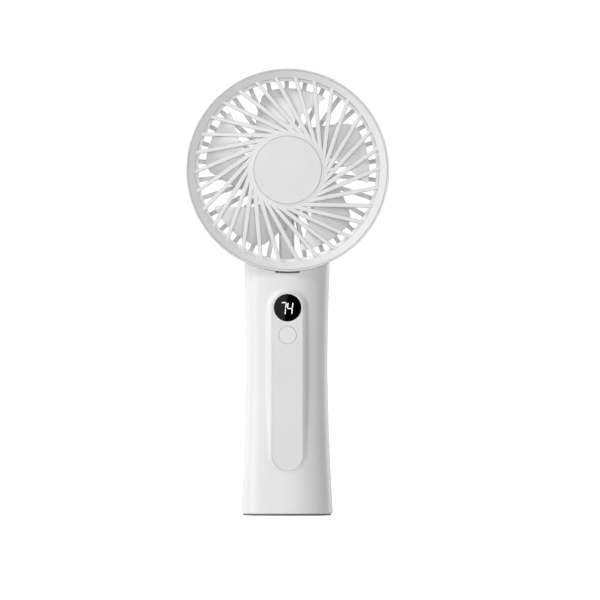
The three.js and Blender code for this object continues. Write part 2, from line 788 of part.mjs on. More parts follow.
function addHinge() {
  const end = EAR.outer - 0.5;
  add(fan, "hinge_pin", rod(PIN_RADIUS, [-end, 0, 0], [end, 0, 0]), STEEL, [0, HINGE_Y, HINGE_Z]);
  for (const [side, name] of [[-1, "left"], [1, "right"]]) {
    const washer = ring(2.8, PIN_RADIUS + 0.12, -0.2, 0.2);
    const x = (side * (KNUCKLE.half + EAR.inner)) / 2;
    add(fan, `friction_washer_${name}`, washer, STEEL, [x, HINGE_Y, HINGE_Z], [0, 0, Math.PI / 2]);
  }
}

function addHandle() {
  const tube = handleTube();
  add(fan, "front_shell", frontShell(tube), WHITE);
  add(fan, "rear_shell", rearShell(tube), WHITE);
  add(fan, "control_strip", controlStrip(), PALE);
  const lens = ring(DISPLAY_RADIUS, 0, STRIP_FRONT_Y - 0.05, STRIP_BACK_Y, 36);
  add(fan, "display_lens", lens, BLACK_GLOSS, [0, 0, DISPLAY_Z]);
  add(fan, "power_button", powerButton(), PALE, [0, 0, BUTTON_Z]);
  add(fan, "base_cap", baseCap(), WHITE);
  add(fan, "foot_pad", handleBlock(0.85, 0, SHELL_BOTTOM_Z - GAP, 1), RUBBER);
  for (const [side, name] of [[-1, "left"], [1, "right"]]) {
    const place = [side * BASE_SCREW.x, BASE_SCREW.y, 2];
    const tipUp = [-Math.PI / 2, 0, 0];
    add(fan, `base_screw_${name}`, screw(2, 1, 0.9, 6), STEEL, place, tipUp);
  }
}

function addControls() {
  const { half, front, back, bottom, top } = BOARD;
  const board = cut(box([-half, front, bottom], [half, back, top]), [
    ...[45, 75].map((z) => rod(0.9, [0, -13, z], [0, -9, z], 12)),
  ]);
  add(fan, "main_board", board, BOARD_GREEN);
  [45, 75].forEach((z, i) => {
    add(fan, `board_screw_${i + 1}`, screw(1.3, 0.6, 0.6, 2.5), STEEL, [0, back + 0.1, z]);
  });
  const display = box([-5, STRIP_BACK_Y + 0.2, -5.5], [5, front - 0.1, 5.5]);
  add(fan, "display_module", display, CHIP_BLACK, [0, 0, DISPLAY_Z]);
  const switchBody = box([-3, -13.4, -3], [3, front - 0.1, 3]).subtract(ring(1.85, 0, -14, -12.4));
  add(fan, "tact_switch", switchBody, CHIP_BLACK, [0, 0, BUTTON_Z]);
  add(fan, "switch_plunger", ring(1.7, 0, -13.8, -12.9), WIRE_RED, [0, 0, BUTTON_Z]);
  add(fan, "control_chip", box([-2.5, front - 1.1, -2.5], [2.5, front - 0.1, 2.5]), CHIP_BLACK, [0, 0, 38]);
  add(fan, "motor_connector", box([-3, back + 0.1, 101], [3, -8.5, 105]), PALE);
}

function addPower() {
  const { y, bottom, top } = BATTERY;
  add(fan, "battery_cell", batteryCell(), CELL_WRAP, [0, y, 0], [Math.PI / 2, 0, 0]);
  add(fan, "battery_cradle", batteryCradle(), CRADLE_GREY);
  add(fan, "battery_pad", box([-4, 11.7, 50], [4, 12.05, 88]), FOAM);
  add(fan, "battery_tab_top", box([-3, -7.2, top + 0.2], [3, 4, top + 0.5]), STEEL);
  add(fan, "battery_tab_bottom", box([-3, -7.2, bottom - 0.5], [3, 4, bottom - 0.2]), STEEL);
  const toTop = [[2, -7.9, 94.8], [2, -8.9, 95.8], [2, -9.6, 97.4], [2, -9.9, 99.6]];
  const toBottom = [
    [-2, -7.5, 23.3],
    [-3.2, -9.4, 23.2],
    [-4.8, -10.6, 24.8],
    [-6, -10.2, 28.5],
    [-6, -9.7, 35],
  ];
  add(fan, "battery_lead_positive", cable(0.6, toTop), WIRE_RED);
  add(fan, "battery_lead_negative", cable(0.6, toBottom), WIRE_BLACK);
  add(fan, "charge_board", box([-7, 6, 9.8], [7, 14, 10.8]), BOARD_GREEN);
  add(fan, "usb_port", usbPort(), STEEL, [0, PORT.front, PORT.z]);
  const tongue = box([-3.35, PORT.front + 0.6, -0.35], [3.35, PORT.back - 1, 0.35]);
  add(fan, "usb_port_tongue", tongue, CHIP_BLACK, [0, 0, PORT.z]);
  const ribbon = [
    [0, 5.7, 10.3],
    [0, -4, 10.8],
    [0, -9.5, 14],
    [0, -11.6, 21],
    [0, -11.5, 27],
    [0, -11.1, 32.7],
  ];
  add(fan, "charge_ribbon", cable(0.2, ribbon, 5), PALE);
  const lower = [
    [0, 6.6, 112.6],
    [0, 5.6, 110.4],
    [0, 0, 108.8],
    [0, -6, 108.2],
    [0, -9.4, 107.2],
    [0, -9.6, 105.3],
  ];
  add(fan, "handle_lead", cable(0.85, lower), WIRE_BLACK);
}

addHead();
addMotor();
addHinge();
addHandle();
addControls();
addPower();

export default fan;
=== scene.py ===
# Looks of the handheld fan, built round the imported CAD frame. Sizes are in millimetres until a
# piece's mesh is made; the row frame has +Z up, and the fan faces -Y.
import json
import math

import bmesh
import bpy
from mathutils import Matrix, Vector


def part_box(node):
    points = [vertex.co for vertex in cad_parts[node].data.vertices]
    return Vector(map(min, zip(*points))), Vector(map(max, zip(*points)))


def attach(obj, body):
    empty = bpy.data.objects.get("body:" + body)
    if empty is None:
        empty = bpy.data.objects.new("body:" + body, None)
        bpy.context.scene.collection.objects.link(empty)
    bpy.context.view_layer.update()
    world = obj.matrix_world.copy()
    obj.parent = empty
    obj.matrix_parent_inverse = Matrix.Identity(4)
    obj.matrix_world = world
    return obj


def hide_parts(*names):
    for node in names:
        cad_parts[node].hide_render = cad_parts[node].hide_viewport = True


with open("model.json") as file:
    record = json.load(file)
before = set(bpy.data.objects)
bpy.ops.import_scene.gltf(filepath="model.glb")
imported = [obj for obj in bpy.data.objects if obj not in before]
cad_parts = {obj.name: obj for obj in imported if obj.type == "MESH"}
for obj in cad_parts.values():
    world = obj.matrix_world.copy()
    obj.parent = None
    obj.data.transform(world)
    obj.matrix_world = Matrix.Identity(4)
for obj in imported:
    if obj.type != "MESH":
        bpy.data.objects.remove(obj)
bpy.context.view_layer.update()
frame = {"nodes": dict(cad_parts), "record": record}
scene = bpy.context.scene
nodes = frame["nodes"]

MM = 0.001


def cad(node):
    """Lowest and highest corner of a CAD node in millimetres."""
    low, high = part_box(node)
    return low / MM, high / MM


# ---- Places, from the CAD ------------------------------------------------------------------

CAP_LOW, CAP_HIGH = cad("centre_cap")
HEAD_Z = (CAP_LOW.z + CAP_HIGH.z) / 2
CAP_RADIUS = (CAP_HIGH.z - CAP_LOW.z) / 2
HOUSING_LOW, HOUSING_HIGH = cad("rear_housing")
HEAD_RADIUS = HOUSING_HIGH.z - HEAD_Z
HEAD_FRONT = HOUSING_LOW.y
STRIP_LOW, STRIP_HIGH = cad("control_strip")
STRIP_HALF = STRIP_HIGH.x
STRIP_FRONT = STRIP_LOW.y
STRIP_ENDS = (STRIP_LOW.z + STRIP_HALF, STRIP_HIGH.z - STRIP_HALF)
DISPLAY_LOW, DISPLAY_HIGH = cad("display_lens")
DISPLAY_Z = (DISPLAY_LOW.z + DISPLAY_HIGH.z) / 2
BUTTON_LOW, BUTTON_HIGH = cad("power_button")
BUTTON_Z = (BUTTON_LOW.z + BUTTON_HIGH.z) / 2
PIN_LOW, PIN_HIGH = cad("hinge_pin")
HINGE_Y = (PIN_LOW.y + PIN_HIGH.y) / 2
HINGE_Z = (PIN_LOW.z + PIN_HIGH.z) / 2
SHELL_BOTTOM = cad("front_shell")[0].z
PORT_LOW, PORT_HIGH = cad("usb_port")

# ---- Driving sizes that the CAD's boxes don't give ------------------------------------------

HANDLE_TOP = 122.0
WAIST_Z = 72.0
HALF_WIDTH = {"base": 22.42, "waist": 19.55, "top": 20.65}
HALF_DEPTH = {"base": 17.8, "waist": 14.2, "top": 15.2}
FLARE_POWER = 1.6
ROUNDNESS = 2.5
WALL = 1.8
SEAM_Y = 1.0
SEAM_GAP = 0.12
BOTTOM_EDGE = 0.45
SADDLE_RADIUS = HEAD_RADIUS + 0.14
RIB_COUNT = 30
RIB_PITCH = 360 / RIB_COUNT
RIB_PHASE = 1.1
RIB_TANGENT = 16.4
GRILLE_OPENING = 44.45
GRILLE_SHELF = 42.9
REAR_RING = 44.3
HUB_RADIUS = 15.6
BLADE_COUNT = 5
BLADE_TIP = 39.6
BLADE_ROOT = 14.6
BLADE_FRONT = -11.2
BLADE_BACK = -3.0
BLADE_CAMBER = 1.2
BUTTON_RADIUS = 4.2
SEAT = 48.12
EARS = {"inner": 6.0, "outer": 10.6, "radius": 3.3}
TONGUE_SLOT = {"half": 5.95, "front": -12.6, "floor": HINGE_Z - 3.5}
SLIT = {"half": 5.9, "depth": 0.85, "back": -11.0}
SKIRT_SLOPE = 1.8
SKIRT_EDGE = 1.5
SKIRT_BLEND = 1.2
DIGIT = {"width": 2.35, "height": 5.7, "stroke": 0.4, "gap": 0.12, "slant": 0.1}
DIGIT_DROP = 0.4

# ---- Brightness of the studio ----------------------------------------------------------------

AMBIENT = 0.2
BACKDROP_SEEN = 1.1
BACKDROP_MIRRORED = 0.3
FLOOR_GLOW = 1.0


# ---- Shapes: pairs of vertex list (mm) and face list ----------------------------------------


def merged(*shapes):
    verts, faces = [], []
    for shape_verts, shape_faces in shapes:
        start = len(verts)
        verts.extend(shape_verts)
        faces.extend([tuple(i + start for i in face) for face in shape_faces])
    return verts, faces


def turned_about_head(shape, degrees):
    """A copy turned about the head's axis, anticlockwise as seen from the front."""
    a = math.radians(degrees)
    c, s = math.cos(a), math.sin(a)
    verts = [(x * c - (z - HEAD_Z) * s, y, HEAD_Z + x * s + (z - HEAD_Z) * c) for x, y, z in shape[0]]
    return verts, shape[1]


def fillet(points, closed=True, steps=5):
    """Corners (a, b, radius) as a smooth outline of (a, b)."""
    out = []
    count = len(points)
    for i, (a, b, radius) in enumerate(points):
        if radius <= 0 or (not closed and i in (0, count - 1)):
            out.append((a, b))
            continue
        here = Vector((a, b))
        before = Vector(points[i - 1][:2]) - here
        after = Vector(points[(i + 1) % count][:2]) - here
        reach_in = min(radius, 0.48 * before.length)
        reach_out = min(radius, 0.48 * after.length)
        start = here + before.normalized() * reach_in
        end = here + after.normalized() * reach_out
        for k in range(steps + 1):
            t = k / steps
            p = start * (1 - t) ** 2 + here * 2 * t * (1 - t) + end * t * t
            out.append((p.x, p.y))
    return out


def lathe(profile, segments=192, closed=True):
    """A profile of (radius, y) turned about the head's axis. Radii of 0 become poles."""
    verts, faces, rows = [], [], []
    for radius, y in profile:
        start = len(verts)
        if radius < 1e-6:
            verts.append((0, y, HEAD_Z))
            rows.append([start] * segments)
            continue
        for k in range(segments):
            a = 2 * math.pi * k / segments
            verts.append((radius * math.cos(a), y, HEAD_Z + radius * math.sin(a)))
        rows.append(list(range(start, start + segments)))
    pairs = list(zip(rows, rows[1:]))
    if closed:
        pairs.append((rows[-1], rows[0]))
    for one, two in pairs:
        for k in range(segments):
            n = (k + 1) % segments
            corners = [one[k], one[n], two[n], two[k]]
            face = [v for j, v in enumerate(corners) if v != corners[j - 1]]
            if len(face) > 2:
                faces.append(tuple(face))
    return verts, faces


def layered(outline, layers):
    """Rings of outline(inset), a list of (x, z), at each (inset, y), closed by flat ends."""
    verts, faces = [], []
    for inset, y in layers:
        verts.extend([(x, y, z) for x, z in outline(inset)])
    count = len(verts) // len(layers)
    for row in range(len(layers) - 1):
        for k in range(count):
            n = (k + 1) % count
            a, b = row * count, (row + 1) * count
            faces.append((a + k, a + n, b + n, b + k))
    faces.append(tuple(range(count)))
    faces.append(tuple(range((len(layers) - 1) * count, len(layers) * count)))
    return verts, faces


def edge_layers(front, back, round_front, round_back=0.0, steps=4):
    """Layers of a plate from front to back whose edges are rounded by these radii."""
    layers = []
    for k in range(steps + 1):
        a = math.pi / 2 * k / steps
        layers.append((round_front * (1 - math.sin(a)), front + round_front * (1 - math.cos(a))))
    if round_back:
        for k in range(steps + 1):
            a = math.pi / 2 * k / steps
            layers.append((round_back * (1 - math.cos(a)), back - round_back * (1 - math.sin(a))))
    else:
        layers.append((0.0, back))
    return layers


def circle(radius, x, z, segments=72):
    def outline(inset):
        r = radius - inset
        step = 2 * math.pi / segments
        return [(x + r * math.cos(k * step), z + r * math.sin(k * step)) for k in range(segments)]

    return outline


def stadium(half, ends, segments=48):
    def outline(inset):
        r = half - inset
        low, high = ends
        arc = [math.pi * k / segments for k in range(segments + 1)]
        top = [(r * math.cos(a), high + r * math.sin(a)) for a in arc]
        return top + [(-r * math.cos(a), low - r * math.sin(a)) for a in arc]

    return outline


def rounded_box(low, high, radius, segments=3):
    """A box between two corners with every edge rounded."""
    bm = bmesh.new()
    bmesh.ops.create_cube(bm, size=1)
    size = [h - l for l, h in zip(low, high)]
    for v in bm.verts:
        v.co = Vector([l + (c + 0.5) * s for l, s, c in zip(low, size, v.co)])
    bmesh.ops.bevel(
        bm, geom=bm.edges[:], offset=radius, segments=segments, profile=0.5, affect="EDGES"
    )
    verts = [tuple(v.co) for v in bm.verts]
    faces = [tuple(v.index for v in f.verts) for f in bm.faces]
    bm.free()
    return verts, faces


def rod(radius, start, end, round_edge=0.0, segments=40):
    """A round bar between two points, its end edges rounded."""
    start, end = Vector(start), Vector(end)
    along = end - start
    turn = along.to_track_quat("Z", "Y")
    stations = [(max(radius - round_edge, 0.01), 0.0)]
    for k in range(1, 4):
        a = math.pi / 2 * k / 3
        stations.append((radius - round_edge * (1 - math.sin(a)), round_edge * (1 - math.cos(a))))
    stations += [(r, along.length - s) for r, s in reversed(stations)]
    if not round_edge:
        stations = [(radius, 0.0), (radius, along.length)]
    verts, faces = [], []
    for r, s in stations:
        for k in range(segments):
            a = 2 * math.pi * k / segments
            p = start + turn @ Vector((r * math.cos(a), r * math.sin(a), s))
            verts.append(tuple(p))
    for row in range(len(stations) - 1):
        for k in range(segments):
            n = (k + 1) % segments
            a, b = row * segments, (row + 1) * segments
            faces.append((a + k, a + n, b + n, b + k))
    faces.append(tuple(range(segments)))
    faces.append(tuple(range((len(stations) - 1) * segments, len(stations) * segments)))
    return verts, faces


def bar(stations, depth, round_front, round_back=0.25, corner=4, draft=0.0):
    """A bar along X: stations of (x, z, width, front y, depth share), its cross-section a
    rectangle with rounded edges, narrower in front by the draft on each side. It starts and
    ends in a flat face."""
    verts, faces = [], []
    for x, z, width, front, share in stations:
        half = width / 2
        narrow = half - min(draft, half * 0.4)
        section = fillet(
            [
                (-narrow, front, min(round_front, narrow * 0.95)),
                (narrow, front, min(round_front, narrow * 0.95)),
                (half, front + depth * share, round_back),
                (-half, front + depth * share, round_back),
            ],
            steps=corner,
        )
        verts.extend([(x, y, z + across) for across, y in section])
    count = len(verts) // len(stations)
    for row in range(len(stations) - 1):
        for k in range(count):
            n = (k + 1) % count
            a, b = row * count, (row + 1) * count
            faces.append((a + k, a + n, b + n, b + k))
    faces.append(tuple(range(count)))
    faces.append(tuple(range((len(stations) - 1) * count, len(stations) * count)))
    return verts, faces


# ---- From shapes to pieces ------------------------------------------------------------------


def bare_object(name, shape):
    mesh = bpy.data.meshes.new(name)
    mesh.from_pydata([(x * MM, y * MM, z * MM) for x, y, z in shape[0]], [], shape[1])
    bm = bmesh.new()
    bm.from_mesh(mesh)
    bmesh.ops.remove_doubles(bm, verts=bm.verts, dist=1e-7)
    bmesh.ops.recalc_face_normals(bm, faces=bm.faces)
    bm.to_mesh(mesh)
    bm.free()
    obj = bpy.data.objects.new(name, mesh)
    scene.collection.objects.link(obj)
    return obj


def carve(obj, cutters, operation="DIFFERENCE"):
    """Cuts shapes out of an object and keeps the result as its mesh."""
    tools = [bare_object("cutter", shape) for shape in cutters]
    for tool in tools:
        modifier = obj.modifiers.new("cut", "BOOLEAN")
        modifier.operation = operation
        modifier.solver = "MANIFOLD"
        modifier.object = tool
    bpy.context.view_layer.update()
    evaluated = obj.evaluated_get(bpy.context.evaluated_depsgraph_get())
    mesh = bpy.data.meshes.new_from_object(evaluated)
    obj.modifiers.clear()
    old = obj.data
    obj.data = mesh
    bpy.data.meshes.remove(old)
    for tool in tools:
        mesh = tool.data
        bpy.data.objects.remove(tool)
        bpy.data.meshes.remove(mesh)


def carved_shape(shape, cutters):
    """A shape with others cut out of it, as a shape again."""
    obj = bare_object("blank", shape)
    carve(obj, cutters)
    mesh = obj.data
    verts = [tuple(v.co / MM) for v in mesh.vertices]
    faces = [tuple(polygon.vertices) for polygon in mesh.polygons]
    bpy.data.objects.remove(obj)
    bpy.data.meshes.remove(mesh)
    return verts, faces


def finished(obj, material, body, replaced=(), sharp=32):
    """Shades an object, gives it its material, and puts it on its body."""
    mesh = obj.data
    mesh.materials.clear()
    mesh.materials.append(material)
    mesh.polygons.foreach_set("use_smooth", [True] * len(mesh.polygons))
    mesh.set_sharp_from_angle(angle=math.radians(sharp))
    weighted = obj.modifiers.new("weighted_normals", "WEIGHTED_NORMAL")
    weighted.keep_sharp = True
    weighted.weight = 80
    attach(obj, body)
    if replaced:
        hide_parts(*replaced)
    return obj


# ---- Materials ------------------------------------------------------------------------------


def shader(name):
    material = bpy.data.materials.new(name)
    material.use_nodes = True
    tree = material.node_tree
    return material, tree, tree.nodes["Principled BSDF"]


def noise(tree, scale, detail=2.0, roughness=0.5):
    coordinates = tree.nodes.new("ShaderNodeTexCoord")
    texture = tree.nodes.new("ShaderNodeTexNoise")
    texture.inputs["Scale"].default_value = scale
    texture.inputs["Detail"].default_value = detail
    texture.inputs["Roughness"].default_value = roughness
    tree.links.new(coordinates.outputs["Object"], texture.inputs["Vector"])
    return texture


def spread(tree, texture, low, high):
    """The texture's value as a number between low and high."""
    span = tree.nodes.new("ShaderNodeMapRange")
    span.inputs["From Min"].default_value = 0.3
    span.inputs["From Max"].default_value = 0.7
    span.inputs["To Min"].default_value = low
    span.inputs["To Max"].default_value = high
    tree.links.new(texture.outputs["Fac"], span.inputs["Value"])
    return span.outputs["Result"]


def tinted(tree, texture, dark, light):
    ramp = tree.nodes.new("ShaderNodeValToRGB")
    ramp.color_ramp.elements[0].position = 0.35
    ramp.color_ramp.elements[1].position = 0.65
    ramp.color_ramp.elements[0].color = (*dark, 1)
    ramp.color_ramp.elements[1].color = (*light, 1)
    tree.links.new(texture.outputs["Fac"], ramp.inputs["Fac"])
    return ramp.outputs["Color"]


def bump(tree, principled, texture, strength, distance):
    node = tree.nodes.new("ShaderNodeBump")
    node.inputs["Strength"].default_value = strength
    node.inputs["Distance"].default_value = distance
    tree.links.new(texture.outputs["Fac"], node.inputs["Height"])
    tree.links.new(node.outputs["Normal"], principled.inputs["Normal"])


def moulded(name, shade, roughness=0.42, variation=0.012, grain=2600):
    """Moulded plastic: a faint clouding of the colour, a fine spark-eroded grain and a gloss
    that varies a little."""
    material, tree, principled = shader(name)
    dark = [c - variation for c in shade]
    light = [c + variation for c in shade]
    cloud = noise(tree, 38, 3)
    tree.links.new(tinted(tree, cloud, dark, light), principled.inputs["Base Color"])
    fine = noise(tree, grain, 2)
    bump(tree, principled, fine, 0.12, 0.00002)
    blotch = noise(tree, 160, 2)
    tree.links.new(
        spread(tree, blotch, roughness - 0.03, roughness + 0.03), principled.inputs["Roughness"]
    )
    return material


def metal(name, shade, roughness=0.3, stretch=18.0):
    """Turned or drawn metal: fine streaks in the colour and in the gloss."""
    material, tree, principled = shader(name)
    principled.inputs["Metallic"].default_value = 1.0
    coordinates = tree.nodes.new("ShaderNodeTexCoord")
    mapping = tree.nodes.new("ShaderNodeMapping")
    mapping.inputs["Scale"].default_value = (1.0, stretch, 1.0)
    streaks = tree.nodes.new("ShaderNodeTexNoise")
    streaks.inputs["Scale"].default_value = 900
    tree.links.new(coordinates.outputs["Object"], mapping.inputs["Vector"])
    tree.links.new(mapping.outputs["Vector"], streaks.inputs["Vector"])
    dark = [c * 0.86 for c in shade]
    tree.links.new(tinted(tree, streaks, dark, shade), principled.inputs["Base Color"])
    tree.links.new(
        spread(tree, streaks, roughness - 0.06, roughness + 0.08), principled.inputs["Roughness"]
    )
    bump(tree, principled, streaks, 0.1, 0.00001)
    return material


def board_material(name):
    """Solder mask over faint copper tracks."""
    material, tree, principled = shader(name)
    coordinates = tree.nodes.new("ShaderNodeTexCoord")
    tracks = tree.nodes.new("ShaderNodeTexBrick")
    tracks.inputs["Scale"].default_value = 260
    tracks.inputs["Mortar Size"].default_value = 0.035
    tracks.inputs["Color1"].default_value = (0.015, 0.12, 0.05, 1)
    tracks.inputs["Color2"].default_value = (0.018, 0.135, 0.058, 1)
    tracks.inputs["Mortar"].default_value = (0.035, 0.2, 0.09, 1)
    tree.links.new(coordinates.outputs["Object"], tracks.inputs["Vector"])
    tree.links.new(tracks.outputs["Color"], principled.inputs["Base Color"])
    principled.inputs["Roughness"].default_value = 0.35
    bump(tree, principled, noise(tree, 900), 0.1, 0.00002)
    return material


def wound_copper(name):
    """Enamelled wire, turn beside turn."""
    material, tree, principled = shader(name)
    coordinates = tree.nodes.new("ShaderNodeTexCoord")
    turns = tree.nodes.new("ShaderNodeTexWave")
    turns.bands_direction = "Y"
    turns.inputs["Scale"].default_value = 900
    tree.links.new(coordinates.outputs["Object"], turns.inputs["Vector"])
    colour = tinted(tree, turns, (0.28, 0.09, 0.03), (0.72, 0.32, 0.13))
    tree.links.new(colour, principled.inputs["Base Color"])
    bump(tree, principled, turns, 0.5, 0.0001)
    principled.inputs["Metallic"].default_value = 0.9
    principled.inputs["Roughness"].default_value = 0.32
    return material


def glossy_black(name):
    """The display's window: black, polished, with a trace of haze."""
    material, tree, principled = shader(name)
    haze = noise(tree, 120, 2)
    tree.links.new(
        tinted(tree, haze, (0.0012, 0.0012, 0.0014), (0.0016, 0.0016, 0.0018)),
        principled.inputs["Base Color"],
    )
    tree.links.new(spread(tree, haze, 0.006, 0.012), principled.inputs["Roughness"])
    return material


def lit(name, strength):
    """A lit segment whose glow varies a little at random."""
    material, tree, principled = shader(name)
    glow = noise(tree, 900, 1)
    tree.links.new(
        tinted(tree, glow, (0.86, 0.88, 0.9), (1, 1, 1)), principled.inputs["Emission Color"]
    )
    principled.inputs["Emission Strength"].default_value = strength
    principled.inputs["Base Color"].default_value = (0.6, 0.6, 0.6, 1)
    principled.inputs["Roughness"].default_value = 0.4
    return material


white_shell = moulded("white_shell", (0.87, 0.87, 0.87))
white_grille = moulded("white_grille", (0.87, 0.87, 0.87), 0.4)
# The impeller's white is lighter than the shell's: painted light that makes up for the shade inside
# the cage.
impeller_white_painted_light = moulded("impeller_white_painted_light", (0.93, 0.93, 0.93), 0.4)
white_strip = moulded("white_strip", (0.85, 0.85, 0.85), 0.45, grain=3200)
white_cap = moulded("white_cap", (0.86, 0.86, 0.86), 0.45, grain=3200)
white_button = moulded("white_button", (0.86, 0.86, 0.86), 0.42)
rubber = moulded("foot_rubber", (0.36, 0.36, 0.362), 0.75, 0.01, 1200)
black_window = glossy_black("display_window")
segment_light = lit("segment_light", 0.9)
steel = metal("steel", (0.56, 0.57, 0.59))
magnet = moulded("magnet", (0.06, 0.06, 0.063), 0.5, 0.01, 1500)
board_green = board_material("board_green")
copper = wound_copper("winding_copper")
chip = moulded("chip_black", (0.02, 0.02, 0.021), 0.45, 0.003, 1800)
cell_wrap = moulded("cell_wrap", (0.07, 0.27, 0.43), 0.3, 0.012, 700)
cradle_grey = moulded("cradle_grey", (0.28, 0.285, 0.29), 0.5)
socket_white = moulded("socket_white", (0.78, 0.77, 0.74), 0.45)
wire_red = moulded("wire_red", (0.45, 0.03, 0.025), 0.4, 0.01)
wire_black = moulded("wire_black", (0.02, 0.02, 0.021), 0.4, 0.003)
foam = moulded("foam_black", (0.03, 0.03, 0.031), 0.9, 0.01, 500)

SLOT_MATERIALS = {
    "shell_white": white_shell,
    "grille_white": white_grille,
    "impeller_white": impeller_white_painted_light,
    "strip_white": white_strip,
    "cap_white": white_cap,
    "button_white": white_button,
    "display_black": black_window,
    "foot_rubber": rubber,
    "steel": steel,
    "winding_copper": copper,
    "magnet_grey": magnet,
    "board_green": board_green,
    "chip_black": chip,
    "cell_wrap": cell_wrap,
    "cradle_grey": cradle_grey,
    "socket_white": socket_white,
    "wire_red": wire_red,
    "wire_black": wire_black,
    "foam_black": foam,
}


# ---- Handle ---------------------------------------------------------------------------------


def flare(z, size):
    below = z < WAIST_Z
    t = (WAIST_Z - z) / WAIST_Z if below else (z - WAIST_Z) / (HANDLE_TOP - WAIST_Z)
    return size["waist"] + (size["base" if below else "top"] - size["waist"]) * t**FLARE_POWER


def from_strip(x, z):
    """How far a point lies outside the strip's outline; negative inside it."""
    low, high = STRIP_ENDS
    return math.hypot(x, z - min(max(z, low), high)) - STRIP_HALF


def smooth_high(a, b, blend):
    h = max(blend - abs(a - b), 0) / blend
    return max(a, b) + h * h * blend / 4


def skirt_height(x, z):
    """The raised ground round the strip, falling away in a soft S to the body."""
    d = max(from_strip(x, z), 0)
    fall = SKIRT_SLOPE * (math.hypot(d, SKIRT_EDGE) - SKIRT_EDGE)
    return -STRIP_FRONT - 0.08 - fall


def handle_point(turn, z, inset):
    """A point of the handle's surface. turn is 0 at the right side and pi at the left, past
    the front; the skirt of the strip is raised on the front only."""
    lift = z - SHELL_BOTTOM
    low = max(BOTTOM_EDGE - lift, 0)
    pull = BOTTOM_EDGE - math.sqrt(BOTTOM_EDGE**2 - low**2)
    width = flare(z, HALF_WIDTH) - inset - pull
    depth = flare(z, HALF_DEPTH) - inset - pull

    def rounded(c):
        return math.copysign(abs(c) ** (2 / ROUNDNESS), c)

    x = width * rounded(math.cos(turn))
    y = -depth * rounded(math.sin(turn))
    if not inset and y < -2 and abs(x) < 17:
        y = -smooth_high(-y, skirt_height(x, z), SKIRT_BLEND)
    return x, y, z


def shell_heights(steps=150):
    """Heights of the shell's rows, close together where the bottom edge is rounded."""
    heights = [SHELL_BOTTOM + h for h in (0.0, 0.03, 0.09, 0.18, 0.3, BOTTOM_EDGE)]
    start = SHELL_BOTTOM + BOTTOM_EDGE
    return heights + [start + (HANDLE_TOP - start) * k / steps for k in range(1, steps + 1)]


def half_tube(front, columns=150):
    """The front or rear half of the handle's shell, as a closed solid."""
    verts, faces, grids = [], [], []
    sign = 1 if front else -1
    seam = SEAM_Y - SEAM_GAP / 2 if front else SEAM_Y + SEAM_GAP / 2
    for inset in (0.0, WALL):
        grid = []
        for z in shell_heights():
            depth = flare(z, HALF_DEPTH) - inset
            past = sign * math.asin((seam / depth) ** (ROUNDNESS / 2))
            row = []
            for k in range(columns + 1):
                share = k / columns
                turn = sign * (-past + (math.pi + 2 * past) * share)
                row.append(len(verts))
                verts.append(handle_point(turn, z, inset))
            grid.append(row)
        grids.append(grid)
    outer, inner = grids
    rows = len(outer)
    for grid in grids:
        for r in range(rows - 1):
            for k in range(columns):
                faces.append((grid[r][k], grid[r][k + 1], grid[r + 1][k + 1], grid[r + 1][k]))
    for r in (0, rows - 1):
        for k in range(columns):
            faces.append((outer[r][k], outer[r][k + 1], inner[r][k + 1], inner[r][k]))
    for k in (0, columns):
        for r in range(rows - 1):
            faces.append((outer[r][k], outer[r + 1][k], inner[r + 1][k], inner[r][k]))
    return verts, faces


def box_shape(low, high):
    return rounded_box(low, high, 0.02, 1)


def head_cylinder(radius):
    return rod(radius, (0, -40, HEAD_Z), (0, 40, HEAD_Z), segments=360)


def tongue_slot():
    half = TONGUE_SLOT["half"]
    return box_shape(
        (-half, TONGUE_SLOT["front"], TONGUE_SLOT["floor"]), (half, 30, HANDLE_TOP + 2)
    )


def build_front_shell():
    obj = bare_object("front_shell_skin", half_tube(True))
    carve(obj, [head_cylinder(SADDLE_RADIUS), tongue_slot()])
    carve_slit(obj)
    carve(
        obj,
        [
            layered(stadium(STRIP_HALF + 0.07, STRIP_ENDS), [(0, -20), (0, STRIP_FRONT + 1.6)]),
            layered(circle(5.1, 0, BUTTON_Z), [(0, -20), (0, -8)]),
        ],
    )
    finished(obj, white_shell, "handle", ["front_shell"])


def carve_slit(obj):
    """The shallow notch under the head's front edge, curved with the head."""
    half = SLIT["half"]
    radius = HEAD_RADIUS + SLIT["depth"]
    reach = math.asin(half / radius)
    points = []
    for k in range(25):
        a = -reach + 2 * reach * k / 24
        points.append((radius * math.sin(a), HEAD_Z - radius * math.cos(a)))
    outline = points + [(half, HANDLE_TOP + 2), (-half, HANDLE_TOP + 2)]
    carve(obj, [layered(lambda inset: outline, [(0, -30), (0, SLIT["back"])])])


def build_rear_shell():
    obj = bare_object("rear_shell_skin", half_tube(False))
    carve(obj, [head_cylinder(SADDLE_RADIUS), tongue_slot(), port_hole()])
    ears = []
    for side in (-1, 1):
        x0, x1 = sorted((side * EARS["inner"], side * EARS["outer"]))
        ears.append(rod(EARS["radius"], (x0, HINGE_Y, HINGE_Z), (x1, HINGE_Y, HINGE_Z), 0.35))
        ears.append(
            rounded_box((x0, HINGE_Y - 2.6, HINGE_Z - 7), (x1, HINGE_Y + 2.3, HINGE_Z - 0.3), 0.3)
        )
    finished(obj, white_shell, "handle", ["rear_shell"])
    lip = bare_object("seam_lip_band", seam_lip())
    carve(lip, [head_cylinder(SADDLE_RADIUS + 0.2)])
    finished(lip, white_shell, "handle", ["rear_shell"])
    ear_obj = bare_object("hinge_ears", merged(*ears))
    finished(ear_obj, white_shell, "handle", ["rear_shell"])


